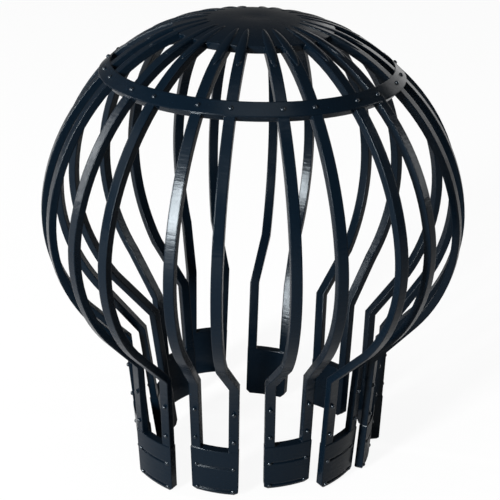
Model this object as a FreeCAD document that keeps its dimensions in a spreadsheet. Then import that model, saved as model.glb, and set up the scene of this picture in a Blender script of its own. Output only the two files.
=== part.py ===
import FreeCAD, Part
import os
from math import radians
import Sketcher

# Leaf filter for the mouth of a round downpipe, moulded in one piece.
# The origin is on the axis, at the height where the ball sits on the pipe's rim.
# +Z is up: the ball is above the rim and the sprung legs reach down into the pipe.

doc = FreeCAD.newDocument("LeafFilter")

# Driving sizes, in millimetres and degrees.
SIZES = [
    ("dome_radius", 49.3, "middle of the ribs, crown down to the shoulder"),
    ("dome_height", 32.0, "centre of the dome above the pipe's rim"),
    ("side_radius", 36.4, "middle of the ribs, shoulder round the widest part"),
    ("shoulder_angle", 9.1, "height at which the dome hands over to the side"),
    ("side_angle", 40.8, "how far below level the side arc ends"),
    ("seat_radius", 30.9, "middle of the legs at the pipe's rim"),
    ("leg_taper", 4.8, "lean of the legs towards the axis"),
    ("leg_length", 32.4, "rim to the lower edge of the feet"),
    ("window_length", 19.0, "rim to the upper edge of the feet"),
    ("pair_count", 12, "pairs of ribs, one leg to each"),
    ("rib_angle", 5.9, "each rib from the middle of its pair"),
    ("bar_angle", 8.9, "each leg bar from the middle of its leg"),
    ("foot_angle", 11.4, "each edge of a foot from the middle of its leg"),
    ("rib_width", 2.4, "ribs and leg bars"),
    ("rib_depth", 1.75, "ribs and leg bars, outside to inside"),
    ("cover", 0.12, "crown and hoop proud of the ribs, each side"),
    ("crown_angle", 66.6, "height of the crown's edge"),
    ("hoop_angle", 47.7, "height of the hoop's middle"),
    ("hoop_width", 3.6, "hoop along the dome"),
    ("rib_stop", 0.5, "end of each rib short of the hoop's middle"),
    ("foot_thickness", 2.1, "foot plates"),
    ("foot_chamfer", 0.8, "lower outer edge of the feet"),
    ("foot_corner", 1.0, "lower corners of the feet, taken off"),
    ("line_depth", 0.3, "grooves across the feet"),
    ("line_height", 0.6, "grooves across the feet"),
    ("line_drop", 24.1, "rim to the upper groove"),
]

# The legs are thin and have taken a set: how far each one has sprung outwards and
# sideways about the hoop, in degrees, anticlockwise from the front leg left of the middle.
SPRUNG = [
    (-3.0, -0.5),
    (-4.0, 3.0),
    (-0.5, 3.0),
    (2.0, 1.5),
    (4.0, -0.5),
    (1.5, -2.0),
    (0.0, 0.0),
    (7.0, -0.5),
    (0.5, -3.0),
    (-4.5, 0.5),
    (-1.5, 0.0),
    (-0.5, -1.5),
]

sheet = doc.addObject("Spreadsheet::Sheet", "Sizes")
for row, (alias, value, note) in enumerate(SIZES, start=1):
    sheet.set(f"A{row}", note)
    sheet.set(f"B{row}", str(value))
    sheet.setAlias(f"B{row}", alias)
for k, (out, side) in enumerate(SPRUNG):
    row = len(SIZES) + 1 + k
    sheet.set(f"A{row}", f"leg {k} sprung outwards, sideways")
    sheet.set(f"B{row}", str(out))
    sheet.setAlias(f"B{row}", f"sprung_out_{k}")
    sheet.set(f"C{row}", str(side))
    sheet.setAlias(f"C{row}", f"sprung_side_{k}")
doc.recompute()


def size(text):
    """Put the sheet's name before each alias in an expression."""
    words = sorted((s[0] for s in SIZES), key=len, reverse=True)
    out = []
    word = ""
    for ch in text + " ":
        if ch.isalnum() or ch == "_":
            word += ch
            continue
        out.append("Sizes." + word if word in words else word)
        out.append(ch)
        word = ""
    return "".join(out).strip()


def plane(body, role):
    """One of the body's own origin planes or axes."""
    for item in body.Origin.OriginFeatures:
        if item.Role == role:
            return item


def sketch_at(body, name, role, place=None):
    """A sketch on one of the body's planes, moved by an expression."""
    sk = body.newObject("Sketcher::SketchObject", name)
    sk.AttachmentSupport = [(plane(body, role), "")]
    sk.MapMode = "FlatFace"
    if place:
        sk.setExpression("AttachmentOffset", size(place))
    return sk


def value(text):
    """The number an expression gives, from the sheet."""
    probe = sheet.evalExpression(size(text))
    return float(getattr(probe, "Value", probe))


def outline(sk, points, open_end=False):
    """Outline of straight lines, closed or not, each corner set by a pair of expressions."""
    start = sk.GeometryCount
    at = [FreeCAD.Vector(value(x), value(y), 0) for x, y in points]
    n = len(at)
    lines = n - 1 if open_end else n
    for i in range(lines):
        sk.addGeometry(Part.LineSegment(at[i], at[(i + 1) % n]), False)
    for i in range(lines - 1 if open_end else lines):
        following = start + (i + 1) % n
        sk.addConstraint(Sketcher.Constraint("Coincident", start + i, 2, following, 1))
    for i, (x, y) in enumerate(points):
        line, end = (start + i, 1) if i < lines else (start + i - 1, 2)
        for kind, text, number in (("DistanceX", x, at[i].x), ("DistanceY", y, at[i].y)):
            c = sk.addConstraint(Sketcher.Constraint(kind, -1, 1, line, end, number))
            sk.setExpression(f"Constraints[{c}]", size(text))


def rib_section(sk, middle, half_depth="rib_depth / 2"):
    """Cross-section of a rib, a flat strip."""
    inner = f"{middle} - ({half_depth})"
    outer = f"{middle} + ({half_depth})"
    outline(sk, [
        (inner, "-rib_width / 2"),
        (outer, "-rib_width / 2"),
        (outer, "rib_width / 2"),
        (inner, "rib_width / 2"),
    ])


def ray(height, turn, up, rho="0"):
    """Place of a section plane: X points outwards, turned about the axis and raised."""
    return (
        f"placement(vector(0; 0; {height}); rotation(vector(0; 0; 1); {turn}))"
        f" * placement(vector({rho}; 0; 0); rotation(vector(0; 1; 0); -({up})))"
        " * placement(vector(0; 0; 0); rotation(vector(1; 0; 0); 0))"
    )


def revolve(body, name, sk, axis, angle, reverse=False, middle=False):
    f = body.newObject("PartDesign::Revolution", name)
    f.Profile = sk
    f.ReferenceAxis = axis
    f.Angle = value(angle)
    f.setExpression("Angle", size(angle))
    f.Reversed = reverse
    f.Midplane = middle
    return f


def check_all():
    """Stop if any object failed."""
    for item in doc.Objects:
        bad = [s for s in item.State if s in ("Invalid", "Error")]
        if bad:
            raise RuntimeError(f"{item.Name}: {item.State} {item.getStatusString()}")


# Crown, upper ribs and hoop.
top = doc.addObject("PartDesign::Body", "Top")


skin_in = "dome_radius - rib_depth / 2 - cover"
skin_out = "dome_radius + rib_depth / 2 + cover"


def on_dome(radius, angle):
    """A point of the dome's profile: distance from its centre, then height in degrees."""
    return (f"({radius}) * cos({angle})", f"dome_height + ({radius}) * sin({angle})")


# The outside of the crown is a true arc, its underside runs beside it in two shallow cones.
sk = sketch_at(top, "CrownProfile", "XZ_Plane")
outline(sk, [
    on_dome(skin_out, "crown_angle"),
    on_dome(skin_in, "crown_angle"),
    on_dome(skin_in, "(crown_angle + 90) / 2"),
    on_dome(skin_in, "90"),
    on_dome(skin_out, "90"),
], open_end=True)
centre = FreeCAD.Vector(0, value("dome_height"), 0)
ball = Part.Circle(centre, FreeCAD.Vector(0, 0, 1), value(skin_out))
arc = sk.addGeometry(Part.ArcOfCircle(ball, radians(value("crown_angle")), radians(90)), False)
sk.addConstraint(Sketcher.Constraint("Coincident", arc, 1, 0, 1))
sk.addConstraint(Sketcher.Constraint("Coincident", arc, 2, 3, 2))
c = sk.addConstraint(Sketcher.Constraint("Radius", arc, value(skin_out)))
sk.setExpression(f"Constraints[{c}]", size(skin_out))
revolve(top, "Crown", sk, (sk, ["V_Axis"]), "360")

# The ribs run from inside the crown to just short of the hoop's middle, which covers their ends.
rib_top = "crown_angle + 2"
stop = "rib_stop / dome_radius * 180 / pi"
upper = []
for name, side in (("Left", "-rib_angle"), ("Right", "rib_angle")):
    turn = f"180 / pair_count + ({side})"
    sk = sketch_at(top, f"UpperRib{name}Section", "XY_Plane", ray("dome_height", turn, rib_top))
    rib_section(sk, "dome_radius")
    reach = f"{rib_top} - hoop_angle - {stop}"
    upper.append(revolve(top, f"UpperRib{name}", sk, (sk, ["V_Axis"]), reach))
doc.recompute()
ring = top.newObject("PartDesign::PolarPattern", "UpperRibs")
ring.Originals = upper
ring.Axis = (plane(top, "Z_Axis"), [""])
ring.Angle = 360
ring.Occurrences = int(value("pair_count"))
ring.setExpression("Occurrences", size("pair_count"))
top.Tip = ring
doc.recompute()

def hoop_corner(radius, along):
    """A corner of the hoop's section: out from the dome's centre, then up along the dome."""
    return (
        f"({radius}) * cos(hoop_angle) - ({along}) * sin(hoop_angle)",
        f"dome_height + ({radius}) * sin(hoop_angle) + ({along}) * cos(hoop_angle)",
    )


sk = sketch_at(top, "HoopProfile", "XZ_Plane")
outline(sk, [
    hoop_corner(skin_in, "-hoop_width / 2"),
    hoop_corner(skin_out, "-hoop_width / 2"),
    hoop_corner(skin_out, "hoop_width / 2"),
    hoop_corner(skin_in, "hoop_width / 2"),
])
revolve(top, "Hoop", sk, (sk, ["V_Axis"]), "360")
doc.recompute()
check_all()

# One pair of lower ribs with its leg, drawn about +X.
pair = doc.addObject("PartDesign::Body", "Pair")


def leg_at(drop, across):
    """A point of the leg's profile: how far below the rim, how far outside its middle."""
    return (f"seat_radius - ({drop}) * tan(leg_taper) + ({across}) / cos(leg_taper)", f"-({drop})")


half_foot = "foot_thickness / 2"
sk = sketch_at(pair, "FootProfile", "XZ_Plane")
outline(sk, [
    leg_at("window_length", f"-{half_foot}"),
    leg_at("leg_length", f"-{half_foot}"),
    leg_at("leg_length", f"{half_foot} - foot_chamfer / 2"),
    leg_at("leg_length - foot_chamfer", half_foot),
    leg_at("window_length", half_foot),
])
revolve(pair, "Foot", sk, (sk, ["V_Axis"]), "2 * foot_angle", middle=True)
doc.recompute()

# Two grooves cross the outside of the foot, from the middle of one bar to the other.
plain = pair.Shape.Volume
sk = sketch_at(pair, "LineProfile", "XZ_Plane")
for drop in ("line_drop", "leg_length - foot_chamfer - line_height"):
    outline(sk, [
        leg_at(f"{drop} + line_height / 2", f"{half_foot} - line_depth"),
        leg_at(f"{drop} + line_height / 2", "foot_thickness"),
        leg_at(f"{drop} - line_height / 2", "foot_thickness"),
        leg_at(f"{drop} - line_height / 2", f"{half_foot} - line_depth"),
    ])
lines = pair.newObject("PartDesign::Groove", "FootLines")
lines.Profile = sk
lines.ReferenceAxis = (sk, ["V_Axis"])
lines.setExpression("Angle", size("2 * bar_angle"))
lines.Midplane = True
doc.recompute()
if pair.Shape.Volume >= plain:
    raise RuntimeError("the grooves cut nothing")

# Lower corners taken off.
corners = []
for n, edge in enumerate(pair.Shape.Edges, start=1):
    box = edge.BoundBox
    if box.ZMax < value("-leg_length") + 1e-6 and box.YLength < box.XLength / 2:
        corners.append(f"Edge{n}")
trim = pair.newObject("PartDesign::Chamfer", "FootCorners")
trim.Base = (lines, corners)
trim.setExpression("Size", size("foot_corner"))
doc.recompute()
if len(corners) != 2:
    raise RuntimeError(f"{len(corners)} lower corners found")

# Each leg bar runs from the foot to the rim, turns there and meets the side of the ball.
side_rho = "(dome_radius - side_radius) * cos(shoulder_angle)"
side_height = "dome_height + (dome_radius - side_radius) * sin(shoulder_angle)"
turn_half = "(side_angle - leg_taper) / 2"
inside_foot = "window_length + foot_thickness"

foot_end = sketch_at(pair, "BarFootSection", "XY_Plane", ray(
    f"-({inside_foot})", "bar_angle", "-leg_taper",
    rho=f"seat_radius - ({inside_foot}) * tan(leg_taper)"))
rib_section(foot_end, "0")
rim = sketch_at(pair, "BarRimSection", "XY_Plane", ray(
    "0", "bar_angle", "-(side_angle + leg_taper) / 2", rho="seat_radius"))
rib_section(rim, "0", half_depth=f"rib_depth / 2 / cos({turn_half})")
side_end = sketch_at(pair, "SideEndSection", "XY_Plane", ray(
    side_height, "rib_angle", "-side_angle", rho=side_rho))
rib_section(side_end, "side_radius")
bar = pair.newObject("PartDesign::AdditiveLoft", "Bar")
bar.Profile = foot_end
bar.Sections = [rim, side_end]
bar.Ruled = True
doc.recompute()

sk = sketch_at(pair, "SideSection", "XY_Plane", ray(
    side_height, "rib_angle", "shoulder_angle", rho=side_rho))
rib_section(sk, "side_radius")
side = revolve(pair, "SideRib", sk, (sk, ["V_Axis"]), "shoulder_angle + side_angle")
doc.recompute()

sk = sketch_at(pair, "ShoulderSection", "XY_Plane", ray(
    "dome_height", "rib_angle", f"hoop_angle - {stop}"))
rib_section(sk, "dome_radius")
shoulder = revolve(pair, "ShoulderRib", sk, (sk, ["V_Axis"]), f"hoop_angle - {stop} - shoulder_angle")
doc.recompute()

both = pair.newObject("PartDesign::Mirrored", "BothRibs")
both.Originals = [bar, side, shoulder]
both.MirrorPlane = (plane(pair, "XZ_Plane"), [""])
pair.Tip = both
doc.recompute()
check_all()

# Twelve legs about the axis, each as it has sprung.
hoop_rho = size("dome_radius * cos(hoop_angle)")
hoop_height = size("dome_height + dome_radius * sin(hoop_angle)")
legs = []
for k in range(int(value("pair_count"))):
    leg = doc.addObject("App::Link", f"Leg{k}")
    leg.LinkedObject = pair
    about = size(f"({k} - 0.5) * 360 / pair_count - 90")
    spring = k % len(SPRUNG)
    leg.setExpression("Placement", (
        f"placement(vector(0; 0; 0); rotation(vector(0; 0; 1); {about}))"
        f" * placement(vector({hoop_rho}; 0; {hoop_height});"
        f" rotation(vector(1; 0; 0); Sizes.sprung_side_{spring}))"
        f" * placement(vector(0; 0; 0); rotation(vector(0; 1; 0); -Sizes.sprung_out_{spring}))"
        f" * placement(vector(-({hoop_rho}); 0; -({hoop_height})); rotation(vector(0; 0; 1); 0))"))
    legs.append(leg)
doc.recompute()

whole = doc.addObject("Part::MultiFuse", "LeafFilter")
whole.Label = "leaf_filter"
whole.Shapes = [top] + legs
whole.Refine = False
doc.recompute()
check_all()

shape = whole.Shape
if shape.isNull() or not shape.isValid() or len(shape.Solids) != 1:
    raise RuntimeError(f"leaf_filter: {len(shape.Solids)} solids, valid {shape.isValid()}")
print("volume", shape.Volume, "box", shape.BoundBox, "faces", len(shape.Faces))

os.makedirs("parts", exist_ok=True)
shape.exportStep("parts/leaf_filter.step")
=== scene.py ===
from math import atan2, cos, degrees, hypot, radians, sin

import bmesh
import bpy
from mathutils import Euler, Matrix, Vector


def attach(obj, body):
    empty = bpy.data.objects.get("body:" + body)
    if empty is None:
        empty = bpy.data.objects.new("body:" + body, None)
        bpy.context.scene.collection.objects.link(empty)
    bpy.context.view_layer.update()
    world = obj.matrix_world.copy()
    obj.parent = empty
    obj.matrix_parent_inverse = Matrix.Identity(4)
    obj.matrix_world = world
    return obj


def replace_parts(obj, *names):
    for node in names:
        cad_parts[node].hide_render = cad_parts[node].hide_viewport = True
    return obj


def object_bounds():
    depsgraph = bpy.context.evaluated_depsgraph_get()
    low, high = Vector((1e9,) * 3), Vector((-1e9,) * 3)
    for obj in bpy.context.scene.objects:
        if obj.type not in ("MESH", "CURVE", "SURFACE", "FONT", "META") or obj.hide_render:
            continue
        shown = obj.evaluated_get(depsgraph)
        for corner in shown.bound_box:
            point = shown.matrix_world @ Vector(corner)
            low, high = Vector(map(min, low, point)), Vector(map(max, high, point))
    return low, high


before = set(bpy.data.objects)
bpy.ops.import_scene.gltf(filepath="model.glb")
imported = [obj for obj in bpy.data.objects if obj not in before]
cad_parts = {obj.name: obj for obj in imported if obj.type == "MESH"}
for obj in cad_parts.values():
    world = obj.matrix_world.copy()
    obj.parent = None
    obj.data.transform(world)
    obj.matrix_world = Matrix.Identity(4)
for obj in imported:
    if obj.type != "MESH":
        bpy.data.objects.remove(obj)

cad_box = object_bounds()
MM = 0.001

# Sizes of the moulding in millimetres and degrees, the same as in the solid. The cover is how far
# the crown and hoop stand proud of the ribs.
DOME_RADIUS = 49.3
DOME_HEIGHT = 32.0
SEAT_RADIUS = 30.9
LEG_TAPER = 4.8
PAIRS = 12
RIB_ANGLE = 5.9
BAR_ANGLE = 8.9
RIB_DEPTH = 1.75
RIB_BACK = DOME_RADIUS + RIB_DEPTH / 2
COVER = 0.12
CROWN_ANGLE = 66.6
HOOP_ANGLE = 47.7

# How far each leg has sprung outwards and sideways, in degrees, the same as in the solid.
SPRUNG = [
    (-3.0, -0.5), (-4.0, 3.0), (-0.5, 3.0), (2.0, 1.5), (4.0, -0.5), (1.5, -2.0),
    (0.0, 0.0), (7.0, -0.5), (0.5, -3.0), (-4.5, 0.5), (-1.5, 0.0), (-0.5, -1.5),
]

# The crown's edge is drawn in from the solid's, and its top has settled. Heights are in degrees up
# the dome, the sag is in millimetres, and the curve is the power by which the sag grows.
CROWN_FROM = 58.0
CROWN_EDGE = 68.3
CROWN_TOP = 90
CROWN_SAG = 1.8
SAG_CURVE = 1.5

# The ribs' backs over the crown: middle and half length in degrees up the dome, height and width
# in millimetres, and the share by which they narrow from the middle to the upper end.
RIDGE_MIDDLE = 69.0
RIDGE_REACH = 8.8
RIDGE_HEIGHT = 0.24
RIDGE_WIDTH = 2.0
RIDGE_TAPER = 0.15

# The small raised dots in millimetres: size, distance of their middles from a leg bar's face,
# and depths below the pipe's rim.
PIP_RADIUS = 0.55
PIP_HEIGHT = 0.45
PIP_PROUD = 0.05
PIP_DROPS = (7.6, 15.9, 24.1, 31.2)

# Points closer than this many millimetres are merged, and corners over this angle stay creased.
MERGE = 0.002
CREASE = 40

# The floor's even white, as a share of what the camera sees of it. The rest holds the shadow.
FLOOR_WHITE = 0.92

# Where the lamps point, in metres.
LAMP_AIM = Vector((0, 0, 0.03))


def set_inputs(node, values):
    """Set sockets of a node by name or number."""
    for socket, value in values.items():
        node.inputs[socket].default_value = value


def add_node(nodes, kind, values=None):
    """A new shader node, with some of its sockets set."""
    node = nodes.new(kind)
    set_inputs(node, values or {})
    return node


def new_material(name):
    """A new material with its nodes, links and main shader."""
    mat = bpy.data.materials.new(name)
    mat.use_nodes = True
    tree = mat.node_tree
    return mat, tree.nodes, tree.links, tree.nodes["Principled BSDF"]


def plastic_grain():
    """Group: the fine, even unevenness of a moulded skin, as a height and a roughness."""
    group = bpy.data.node_groups.new("Moulded skin", "ShaderNodeTree")
    for name, value in (("Scale", 1300), ("Smooth", 0.17), ("Rough", 0.32)):
        socket = group.interface.new_socket(name, in_out="INPUT", socket_type="NodeSocketFloat")
        socket.default_value = value
    for name in ("Height", "Roughness"):
        group.interface.new_socket(name, in_out="OUTPUT", socket_type="NodeSocketFloat")
    nodes, links = group.nodes, group.links
    given = add_node(nodes, "NodeGroupInput")
    result = add_node(nodes, "NodeGroupOutput")
    where = add_node(nodes, "ShaderNodeTexCoord")
    across = add_node(nodes, "ShaderNodeMapping", {"Scale": (0.22, 0.22, 1)})
    fine = add_node(nodes, "ShaderNodeTexNoise", {"Detail": 3})
    broad = add_node(nodes, "ShaderNodeTexNoise", {"Scale": 60, "Detail": 2})
    spread = add_node(nodes, "ShaderNodeMapRange", {"From Min": 0.35, "From Max": 0.65})
    links.new(where.outputs["Object"], across.inputs["Vector"])
    links.new(across.outputs["Vector"], fine.inputs["Vector"])
    links.new(where.outputs["Object"], broad.inputs["Vector"])
    links.new(given.outputs["Scale"], fine.inputs["Scale"])
    links.new(fine.outputs["Fac"], result.inputs["Height"])
    links.new(broad.outputs["Fac"], spread.inputs["Value"])
    links.new(given.outputs["Smooth"], spread.inputs["To Min"])
    links.new(given.outputs["Rough"], spread.inputs["To Max"])
    links.new(spread.outputs["Result"], result.inputs["Roughness"])
    return group


def black_plastic(name, skin, edge, gloss):
    """Black moulded plastic with softened edges."""
    mat, nodes, links, shader = new_material(name)
    set_inputs(shader, {"Base Color": (0.0008, 0.0023, 0.0044, 1), "IOR": 1.5,
                        "Specular IOR Level": gloss, "Specular Tint": (0.85, 0.94, 1.0, 1)})
    grain = add_node(nodes, "ShaderNodeGroup")
    grain.node_tree = skin
    bump = add_node(nodes, "ShaderNodeBump", {"Strength": 0.55, "Distance": 0.1 * MM})
    soft = add_node(nodes, "ShaderNodeBevel", {"Radius": edge})
    soft.samples = 6
    links.new(grain.outputs["Roughness"], shader.inputs["Roughness"])
    links.new(grain.outputs["Height"], bump.inputs["Height"])
    links.new(soft.outputs["Normal"], bump.inputs["Normal"])
    links.new(bump.outputs["Normal"], shader.inputs["Normal"])
    return mat


def pale_floor():
    """Pale matt floor that the camera sees as an almost even white with a soft shadow."""
    mat, nodes, links, matt = new_material("Floor")
    set_inputs(matt, {"Base Color": (0.45, 0.45, 0.45, 1), "Roughness": 0.9})
    white = add_node(nodes, "ShaderNodeEmission", {"Strength": 1.0})
    ray = add_node(nodes, "ShaderNodeLightPath")
    share = add_node(nodes, "ShaderNodeMath")
    share.operation = "MULTIPLY"
    set_inputs(share, {1: FLOOR_WHITE})
    blend = add_node(nodes, "ShaderNodeMixShader")
    links.new(ray.outputs["Is Camera Ray"], share.inputs[0])
    links.new(share.outputs[0], blend.inputs[0])
    links.new(matt.outputs[0], blend.inputs[1])
    links.new(white.outputs[0], blend.inputs[2])
    links.new(blend.outputs[0], nodes["Material Output"].inputs["Surface"])
    return mat


skin = plastic_grain()
plastic = black_plastic("Black plastic", skin, edge=0.45 * MM, gloss=0.07)
rubbed = black_plastic("Rubbed black plastic", skin, edge=0.1 * MM, gloss=0.3)


def add_object(name, data):
    """A new object in the scene, at the origin."""
    thing = bpy.data.objects.new(name, data)
    bpy.context.scene.collection.objects.link(thing)
    return thing


def mesh_of(name, bm, material):
    """Turn a bmesh into a mesh of one material, and free it."""
    mesh = bpy.data.meshes.new(name)
    bm.to_mesh(mesh)
    bm.free()
    mesh.materials.append(material)
    return mesh


def finish_piece(name, bm, material):
    """Add a piece of the filter from its bmesh, with smooth faces and creased corners."""
    for edge in bm.edges:
        edge.smooth = not (edge.is_manifold and edge.calc_face_angle() > radians(CREASE))
    for face in bm.faces:
        face.smooth = True
    piece = add_object(name, mesh_of(name, bm, material))
    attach(piece, "root")
    return piece


def around(k, aside=0):
    """Degrees about the axis to the middle of pair k, or to a rib aside from it."""
    return (k - 0.5) * 360 / PAIRS - 90 + aside


def turned(angle, axis):
    """A turn about an axis, in degrees."""
    return Matrix.Rotation(radians(angle), 4, axis)


def moved(out, up):
    """A move out along X and up along Z, in millimetres."""
    return Matrix.Translation(Vector((out, 0, up)) * MM)


def on_dome(radius, raised, turn):
    """A point by its distance from the dome's centre, degrees up the dome and turn in radians."""
    rho = radius * cos(radians(raised))
    up = DOME_HEIGHT * MM + radius * sin(radians(raised))
    return rho * cos(turn), rho * sin(turn), up


def sag(raised):
    """How far the crown has settled at a height on the dome."""
    return CROWN_SAG * max(0.0, (raised - CROWN_FROM) / (CROWN_TOP - CROWN_FROM)) ** SAG_CURVE * MM


def carried(value, old, new):
    """A value carried from one span to the same share of another."""
    share = (value - old[0]) / (old[1] - old[0])
    return new[0] + share * (new[1] - new[0])


def draw_crown_in(bm):
    """Draw the crown's edge in along the dome and level its skin with the ribs that run into it."""
    for v in bm.verts:
        rho, up = hypot(v.co.x, v.co.y), v.co.z - DOME_HEIGHT * MM
        radius, raised = hypot(rho, up), degrees(atan2(up, rho))
        if raised <= CROWN_FROM:
            continue
        if raised < CROWN_ANGLE:
            raised = carried(raised, (CROWN_FROM, CROWN_ANGLE), (CROWN_FROM, CROWN_EDGE))
        else:
            raised = carried(raised, (CROWN_ANGLE, CROWN_TOP), (CROWN_EDGE, CROWN_TOP))
        if radius > (RIB_BACK + COVER / 2) * MM:
            radius -= COVER * MM
        v.co = on_dome(radius - sag(raised), raised, atan2(v.co.y, v.co.x))


def ridge(bm, turn):
    """A rib's rounded back, running out over the crown."""
    made = bmesh.ops.create_uvsphere(bm, u_segments=16, v_segments=20, radius=1)
    for v in made["verts"]:
        raised = RIDGE_MIDDLE + RIDGE_REACH * v.co.z
        radius = (RIB_BACK + RIDGE_HEIGHT * v.co.x) * MM - sag(raised)
        width = RIDGE_WIDTH / 2 * (1 - RIDGE_TAPER * v.co.z) * MM
        aside = width * v.co.y / (radius * cos(radians(raised)))
        v.co = on_dome(radius, raised, turn + aside)


def leg_place(k):
    """Where leg k stands: turned about the axis and sprung about the hoop."""
    out, side = SPRUNG[k]
    rho = DOME_RADIUS * cos(radians(HOOP_ANGLE))
    up = DOME_HEIGHT + DOME_RADIUS * sin(radians(HOOP_ANGLE))
    spring = turned(side, "X") @ turned(-out, "Y")
    return turned(around(k), "Z") @ moved(rho, up) @ spring @ moved(-rho, -up)


def pip(bm, place):
    """One small raised dot, standing along the X of its place."""
    made = bmesh.ops.create_uvsphere(bm, u_segments=14, v_segments=8, radius=PIP_RADIUS * MM)
    flat = Matrix.Diagonal((1, 1, PIP_HEIGHT / PIP_RADIUS, 1))
    bmesh.ops.transform(bm, matrix=place @ turned(90, "Y") @ flat, verts=made["verts"])


def leg_pips(bm, k, side):
    """The dots down one bar of leg k."""
    for drop in PIP_DROPS:
        out = SEAT_RADIUS - drop * sin(radians(LEG_TAPER)) + RIB_DEPTH / 2 + PIP_PROUD
        bar = leg_place(k) @ turned(side * BAR_ANGLE, "Z")
        pip(bm, bar @ moved(out, -drop) @ turned(LEG_TAPER, "Y"))


def hoop_pip(bm, k, side):
    """The dot on the hoop over one rib of pair k."""
    rib = moved(0, DOME_HEIGHT) @ turned(around(k, side * RIB_ANGLE), "Z")
    pip(bm, rib @ turned(-HOOP_ANGLE, "Y") @ moved(RIB_BACK + COVER, 0))


# The moulding itself: the solid's mesh with its crown drawn in.
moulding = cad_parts["leaf_filter"]
for slot in moulding.material_slots:
    slot.material = plastic
bm = bmesh.new()
bm.from_mesh(moulding.data)
bmesh.ops.remove_doubles(bm, verts=bm.verts, dist=MERGE * MM)
draw_crown_in(bm)
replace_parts(finish_piece("filter_moulding", bm, plastic), "leaf_filter")

# The ribs' backs that show through the crown's skin.
bm = bmesh.new()
for k in range(PAIRS):
    for side in (-1, 1):
        ridge(bm, radians(around(k, side * RIB_ANGLE)))
bmesh.ops.recalc_face_normals(bm, faces=bm.faces)
finish_piece("crown_ridges", bm, plastic)

# The dots on the legs and the hoop.
bm = bmesh.new()
for k in range(PAIRS):
    for side in (-1, 1):
        leg_pips(bm, k, side)
        hoop_pip(bm, k, side)
finish_piece("pips", bm, rubbed)

# The floor under the lowest foot.
bm = bmesh.new()
bmesh.ops.create_grid(bm, x_segments=1, y_segments=1, size=3)
bmesh.ops.translate(bm, verts=bm.verts, vec=(0, 0, cad_box[0][2]))
floor = add_object("floor", mesh_of("floor", bm, pale_floor()))

# Weak white light from all round.
world = bpy.data.worlds.new("Studio")
bpy.context.scene.world = world
world.use_nodes = True
set_inputs(world.node_tree.nodes["Background"], {"Color": (1, 1, 1, 1), "Strength": 0.15})


def soft_box(name, azimuth, elevation, distance, width, height, power):
    """A rectangular lamp that faces the ball. Azimuth 0 is behind the camera, 90 is to its right."""
    light = bpy.data.lights.new(name, "AREA")
    light.shape = "RECTANGLE"
    light.size = width
    light.size_y = height
    light.energy = power
    lamp = add_object(name, light)
    turn, lift = radians(azimuth), radians(elevation)
    ray = Vector((sin(turn) * cos(lift), -cos(turn) * cos(lift), sin(lift)))
    lamp.location = LAMP_AIM + distance * ray
    lamp.rotation_euler = (lamp.location - LAMP_AIM).to_track_quat("Z", "Y").to_euler()


soft_box("Key", -40, 14, distance=1.0, width=0.16, height=0.45, power=50)
soft_box("Above", 10, 75, distance=1.2, width=0.6, height=0.6, power=4)
soft_box("Left", -105, 15, distance=1.0, width=0.12, height=0.6, power=10)
soft_box("Right", 100, 20, distance=1.0, width=0.12, height=0.6, power=4)
soft_box("Back", 150, 8, distance=1.2, width=0.8, height=0.8, power=3)

# The camera, placed so that the ribs, rim and feet fall close to where they do in the photo.
camera = bpy.data.cameras.new("Camera")
camera.lens = 91.198
camera.sensor_width = 36
camera.clip_start = 0.01
eye = add_object("Camera", camera)
eye.location = (-0.009194, -0.282785, 0.146211)
eye.rotation_euler = Euler((radians(66.469), radians(-1.566), radians(-1.310)))
bpy.context.scene.camera = eye
bpy.context.scene.view_settings.view_transform = "Standard"
